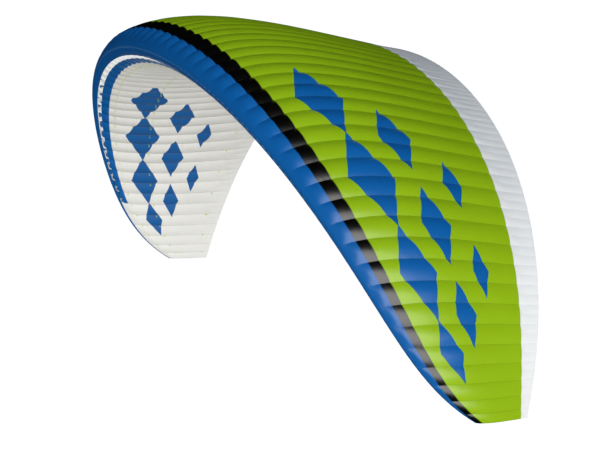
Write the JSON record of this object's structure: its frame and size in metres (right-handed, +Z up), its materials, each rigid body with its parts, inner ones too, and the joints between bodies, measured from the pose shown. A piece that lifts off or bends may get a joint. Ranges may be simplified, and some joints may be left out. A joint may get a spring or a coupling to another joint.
{
  "type": "paraglider wing",
  "caption": "Arched ram-air paraglider wing of tapered cells with open air intakes along its nose, in flying shape.",
  "frame": {"origin": "middle of the lower sail at 30 % of the root chord, on the second row of line attachments", "axes": "+X along the span, +Y from the nose to the trailing edge, +Z up in level flight"},
  "size_m": [9.6216, 2.9006, 3.3352],
  "materials": {
    "blue_sail": "coated ripstop nylon, satin",
    "black_sail": "coated ripstop nylon, satin",
    "green_sail": "coated ripstop nylon, satin",
    "white_sail": "coated ripstop nylon, satin",
    "lower_sail": "coated ripstop nylon, matt",
    "rib_cloth": "hard-finished ripstop nylon, matt"
  },
  "bodies": {
    "root": {"leading_edge_sail": "blue_sail", "intake_lip_sail": "blue_sail", "stripe_sail": "black_sail", "upper_sail": "green_sail", "trailing_sail": "white_sail", "lower_sail": "lower_sail", "rib_left_01": "rib_cloth", "rib_left_02": "rib_cloth", "rib_left_03": "rib_cloth", "rib_left_04": "rib_cloth", "rib_left_05": "rib_cloth", "rib_left_06": "rib_cloth", "rib_left_07": "rib_cloth", "rib_left_08": "rib_cloth", "rib_left_09": "rib_cloth", "rib_left_10": "rib_cloth", "rib_left_11": "rib_cloth", "rib_left_12": "rib_cloth", "rib_left_13": "rib_cloth", "rib_left_14": "rib_cloth", "rib_left_15": "rib_cloth", "rib_left_16": "rib_cloth", "rib_left_17": "rib_cloth", "rib_left_18": "rib_cloth", "rib_left_19": "rib_cloth", "rib_left_20": "rib_cloth", "rib_left_21": "rib_cloth", "rib_left_22": "rib_cloth", "rib_left_23": "rib_cloth", "rib_left_24": "rib_cloth", "rib_left_25": "rib_cloth", "tip_rib_left": "lower_sail", "rib_right_01": "rib_cloth", "rib_right_02": "rib_cloth", "rib_right_03": "rib_cloth", "rib_right_04": "rib_cloth", "rib_right_05": "rib_cloth", "rib_right_06": "rib_cloth", "rib_right_07": "rib_cloth", "rib_right_08": "rib_cloth", "rib_right_09": "rib_cloth", "rib_right_10": "rib_cloth", "rib_right_11": "rib_cloth", "rib_right_12": "rib_cloth", "rib_right_13": "rib_cloth", "rib_right_14": "rib_cloth", "rib_right_15": "rib_cloth", "rib_right_16": "rib_cloth", "rib_right_17": "rib_cloth", "rib_right_18": "rib_cloth", "rib_right_19": "rib_cloth", "rib_right_20": "rib_cloth", "rib_right_21": "rib_cloth", "rib_right_22": "rib_cloth", "rib_right_23": "rib_cloth", "rib_right_24": "rib_cloth", "rib_right_25": "rib_cloth", "tip_rib_right": "lower_sail"}
  },
  "joints": []
}
